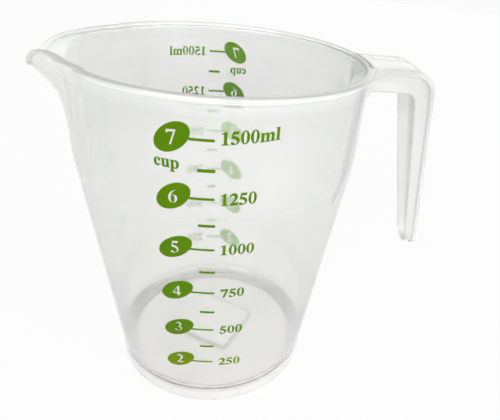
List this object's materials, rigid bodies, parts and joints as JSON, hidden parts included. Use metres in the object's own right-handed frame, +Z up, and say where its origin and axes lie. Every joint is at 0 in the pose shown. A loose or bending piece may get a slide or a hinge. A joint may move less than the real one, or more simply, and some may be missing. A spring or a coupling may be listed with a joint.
{
  "type": "measuring jug",
  "caption": "Translucent plastic measuring jug with a tapered body, straight collar, pinched pouring spout, open hook handle and a printed cup and millilitre scale on two sides.",
  "frame": {"origin": "the middle of the ring that the jug stands on, at table level, on the body's axis", "axes": "+Z up along the body's axis, +X towards the handle, -X towards the spout, -Y towards the scale that faces the viewer"},
  "size_m": [0.1915, 0.1344, 0.167],
  "materials": {
    "translucent_plastic": "milky translucent polypropylene, satin to gloss",
    "green_ink": "opaque leaf green screen print"
  },
  "bodies": {
    "root": {"jug_body": "translucent_plastic", "handle": "translucent_plastic", "front_cup_badges": "green_ink", "front_leader_lines": "green_ink", "front_half_marks": "green_ink", "back_cup_badges": "green_ink", "back_leader_lines": "green_ink", "back_half_marks": "green_ink"}
  },
  "joints": []
}
